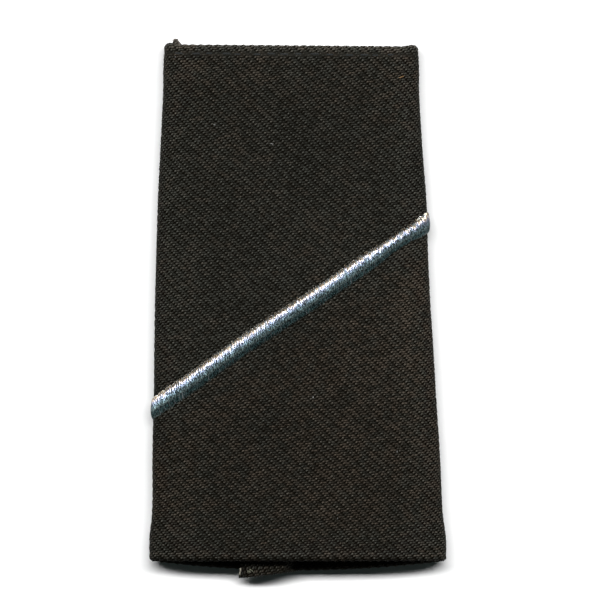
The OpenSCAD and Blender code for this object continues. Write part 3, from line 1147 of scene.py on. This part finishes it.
def make_lint():
    roots = np.concatenate([on_cloth([q], [d], -0.1) for q, d in LINT])
    specks = fibres("lint", roots, (0.6, 0.3, 0.05), length=0.42, radius=0.075, seed=51, curl=0.7)
    thread = fibres("lint_thread", on_cloth([20.9], [6.1], -0.15), (1, 0.1, 0.05),
                    length=1.3, radius=0.1, seed=52, curl=0.5)
    return specks, thread


# Light, floor and camera

PX_PER_MM = 5.155
CENTRE_PX = 297.87
NARROW_EDGE_PX = 45.5
FRAME_PX = 600
CAMERA_AWAY = 5.0
STRIP_AWAY = 1.5
# The floor's size in metres, and how many millimetres it lies under the part
FLOOR_W = 6.0
FLOOR_UNDER = 0.1
# The room as the cloth sees it, and as thread mirrors it
ROOM = colour(0.019, 0.025, 0.024)
ROOM_MIRRORED = colour(0.30, 0.29, 0.28)


def make_camera():
    data = bpy.data.cameras.new("camera")
    data.sensor_width = 36
    view_width = FRAME_PX / PX_PER_MM * MM
    data.lens = data.sensor_width * (CAMERA_AWAY - SLEEVE_H * MM) / view_width
    data.clip_end = 20
    camera = bpy.data.objects.new("camera", data)
    bpy.context.scene.collection.objects.link(camera)
    x = (FRAME_PX / 2 - CENTRE_PX) / PX_PER_MM
    y = NARROW_Y - (FRAME_PX / 2 - NARROW_EDGE_PX) / PX_PER_MM
    camera.location = (x * MM, y * MM, CAMERA_AWAY)
    bpy.context.scene.camera = camera


def make_floor():
    points = np.array([(-1, -1, 0), (1, -1, 0), (1, 1, 0), (-1, 1, 0)]) * FLOOR_W / MM / 2
    floor = mesh_object("floor", points - (0, 0, FLOOR_UNDER), [(0, 1, 2, 3)])
    floor.data.materials.append(floor_finish())


def make_strip(name, elevation, length, depth, power):
    """A soft strip light level with the sleeve's width, raised that many degrees from the narrow end."""
    data = bpy.data.lights.new(name, "AREA")
    data.shape = "RECTANGLE"
    data.size = length
    data.size_y = depth
    data.energy = power
    strip = bpy.data.objects.new(name, data)
    bpy.context.scene.collection.objects.link(strip)
    tilt = math.radians(elevation)
    strip.location = Vector((0, math.cos(tilt), math.sin(tilt))) * STRIP_AWAY
    strip.rotation_euler = (math.radians(elevation - 90), 0, 0)
    strip.visible_camera = False
    return strip


def make_world():
    """A dim room, brighter where thread mirrors it and pale where the camera looks past the floor."""
    world = bpy.data.worlds.new("room")
    world.use_nodes = True
    nodes, links = world.node_tree.nodes, world.node_tree.links
    path = nodes.new("ShaderNodeLightPath")
    room = None
    for ray, shade in (("Is Glossy Ray", ROOM_MIRRORED), ("Is Camera Ray", PAPER)):
        mix = nodes.new("ShaderNodeMix")
        mix.data_type = "RGBA"
        mix.inputs[6].default_value = ROOM
        mix.inputs[7].default_value = shade
        links.new(path.outputs[ray], mix.inputs["Factor"])
        if room is not None:
            links.new(room, mix.inputs[6])
        room = mix.outputs[2]
    links.new(room, nodes["Background"].inputs["Color"])
    bpy.context.scene.world = world


# The whole

make_camera()
make_floor()
make_world()
# One strip lights the cloth, and the other is only mirrored in the thread
key = make_strip("key_strip", elevation=67, length=3.0, depth=0.29, power=52)
key.visible_glossy = False
gloss = make_strip("gloss_strip", elevation=62, length=0.6, depth=0.45, power=36)
gloss.visible_diffuse = False
bpy.context.scene.view_settings.view_transform = "Standard"

twill_black = twill_finish("black_twill")
twill_inside = twill_finish("inner_twill", edge_tone_and_light=False)
twill_frayed = twill_finish("frayed_twill", gap_shade=colour(0.022, 0.019, 0.016), light=colour(0.26, 0.25, 0.21),
                            warm=colour(0.17, 0.14, 0.12), cool=colour(0.13, 0.128, 0.11), edge_tone_and_light=False)
silver = silver_finish()
# The padding's dark teal-grey under the strands is painted shade between them
padding_shade_grey = thread_finish("padding_thread_in_shade", (0.20, 0.23, 0.24), roughness=0.5, metallic=0.6, spread=0.1)
black_thread = thread_finish("black_thread", (0.03, 0.028, 0.025), roughness=0.7, spread=0.6)
stitch_thread = thread_finish("stitch_thread", (0.0070, 0.0092, 0.0092), roughness=0.9, spread=0.4)
cream = thread_finish("cream_thread", (0.42, 0.40, 0.32))
olive = thread_finish("olive_thread", (0.13, 0.13, 0.09), spread=0.4)
buff = thread_finish("buff_thread", (0.24, 0.21, 0.18), spread=0.5)
white_lint = thread_finish("white_lint", (0.25, 0.25, 0.24), spread=0.5)
orange_lint = thread_finish("orange_lint", (0.30, 0.17, 0.07), roughness=0.7, spread=0.3)

sleeve = make_sleeve()
dress(sleeve, twill_black)
dress(make_strands(), silver)
dress(make_padding(), padding_shade_grey)
for layer in make_allowance():
    dress(layer, twill_inside)
black_ends, pale_ends, pale_bits = make_frays()
dress(black_ends, black_thread)
dress(pale_ends, cream)
dress(pale_bits, olive)
corner, corner_fray = make_corner()
dress(corner, twill_frayed)
dress(corner_fray, buff)
dress(make_stitches(), stitch_thread)
specks, orange = make_lint()
dress(specks, white_lint)
dress(orange, orange_lint)
